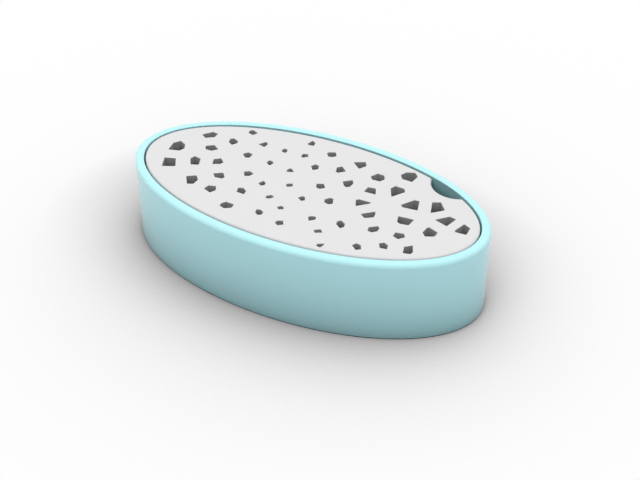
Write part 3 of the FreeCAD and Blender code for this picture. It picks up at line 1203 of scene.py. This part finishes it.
@dataclass(frozen=True)
class Studio:
    """A plain white floor under a soft dome of light."""

    floor: PaperFloor
    floor_half: float = 4.0
    horizon_light: float = 0.02
    brightest_light: float = 2.07
    lean: float = math.radians(2.5)
    lean_azimuth: float = math.radians(70.0)
    falloff: float = 2.0

    def build(self) -> None:
        """Put the floor and the dome in the scene."""
        mesh = bpy.data.meshes.new("studio_floor")
        half = self.floor_half
        corners = [(-half, -half, 0), (half, -half, 0), (half, half, 0), (-half, half, 0)]
        mesh.from_pydata(corners, [], [(0, 1, 2, 3)])
        mesh.materials.append(self.floor.material())
        floor = bpy.data.objects.new("studio_floor", mesh)
        bpy.context.scene.collection.objects.link(floor)
        self.light_dome()

    def light_dome(self) -> None:
        """Light the scene from all round, most from overhead and a little to the left."""
        world = bpy.data.worlds.new("studio_dome")
        world.use_nodes = True
        bpy.context.scene.world = world
        bench = NodeBench(world.node_tree)
        leaning = Vector((-math.sin(self.lean_azimuth), math.cos(self.lean_azimuth)))
        brightest = (*(leaning * math.sin(self.lean)), math.cos(self.lean))
        towards = bench.add("ShaderNodeVectorMath", operation="DOT_PRODUCT")
        bench.tree.links.new(bench.add("ShaderNodeTexCoord").outputs["Generated"], towards.inputs[0])
        towards.inputs[1].default_value = brightest
        rise = bench.sum(towards.outputs["Value"], Sum.LARGER, 0.0)
        glow = bench.sum(bench.sum(rise, Sum.POWER, self.falloff), Sum.MULTIPLY, self.brightest_light)
        glow = bench.sum(glow, Sum.ADD, self.horizon_light)
        lit = bench.feed(bench.add("ShaderNodeBackground"), Color=WHITE, Strength=glow)
        white = bench.feed(bench.add("ShaderNodeBackground"), Color=WHITE, Strength=1.0)
        light = lit_or_seen(bench, lit.outputs["Background"], white.outputs["Background"])
        bench.feed(bench.add("ShaderNodeOutputWorld"), Surface=light)


# The outer wall's colour is darkened over its lowest 3 mm: painted shade where it meets the floor.
AQUA_GLOSS = MouldedPlastic(
    name="aqua_gloss_plastic", colour=(0.53, 0.935, 0.99), mottle=0.012,
    roughness=0.1, roughness_play=0.04, grain=Speckle(2600.0, 2.0, 0.55),
    grain_height=0.004 * MM, wave_height=0.012 * MM, scuff_height=0.003 * MM,
    scuff_top=2.5 * MM, polish_from=28.9 * MM, polish_to=30.2 * MM,
    deep_level=0.0, open_level=3.0 * MM, deep_share=0.9, open_share=1.0,
)
# The basin's inner faces: rougher, and with painted shade that makes the colour darker the deeper it
# lies.
AQUA_BASIN_DULL_AND_SHADED = replace(
    AQUA_GLOSS, name="aqua_basin_plastic_painted_shade", roughness=0.42,
    deep_level=24.4 * MM, open_level=30.1 * MM, deep_share=0.52, open_share=0.62,
)
PALE_MATT = MouldedPlastic(
    name="pale_matt_plastic", colour=(0.764, 0.764, 0.764), mottle=0.01,
    roughness=0.55, roughness_play=0.05, grain=Speckle(3200.0, 2.0, 0.55),
    grain_height=0.008 * MM, wave_height=0.01 * MM, scuff_height=0.003 * MM,
    scuff_top=25.3 * MM, polish_from=30.0 * MM, polish_to=30.15 * MM,
)
# The walls of the drain holes: rougher, and with painted shade that makes the colour darker the deeper
# they go.
PALE_HOLE_DULL_AND_SHADED = replace(
    PALE_MATT, name="pale_hole_plastic_painted_shade", roughness=0.65,
    deep_level=25.15 * MM, open_level=30.1 * MM, deep_share=0.42, open_share=0.6,
)
WHITE_PAPER = PaperFloor(
    name="white_paper", reach=0.5, first_shade=1.06, second_shade=0.53,
    contact_reach=1.6 * MM, contact_shade=0.3,
    cast_reach=38.0 * MM, cast_way=(0.64, -0.76, 0.12), cast_shade=0.66,
    bounce=0.95, bounce_depth=5.0,
)


def oval_of(node: str) -> tuple[Oval, float, float]:
    """Read the oval, the underside and the top of a CAD node.

    Args:
        node: The node's name.

    Returns:
        The oval that fills the node's box, and its lowest and highest levels.
    """
    low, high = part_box(node)
    return Oval((high[0] - low[0]) / 2, (high[1] - low[1]) / 2), low[2], high[2]


def main() -> None:
    """Build the soap holder and the studio round it."""
    logging.basicConfig(level=logging.INFO, format="%(message)s")
    bpy.context.scene.view_settings.view_transform = "Standard"

    bowl_oval, _, rim_level = oval_of("bowl")
    bowl = Bowl(bowl_oval, rim_level, (AQUA_GLOSS, AQUA_BASIN_DULL_AND_SHADED)).build()
    LOG.info("bowl: %d faces", len(bowl.data.polygons))

    _, underside, plate_top = oval_of("drain_plate")
    plate_oval = Oval(
        bowl_oval.half_length - WALL - END_CLEARANCE, bowl_oval.half_width - WALL - SIDE_CLEARANCE
    )
    plate = DrainPlate(plate_oval, underside, plate_top, (PALE_MATT, PALE_HOLE_DULL_AND_SHADED)).build()
    LOG.info("drain plate: %d faces", len(plate.data.polygons))

    Studio(WHITE_PAPER).build()
    StudioCamera().build()
    LOG.info("studio and camera ready")


if __name__ == "__main__":
    main()
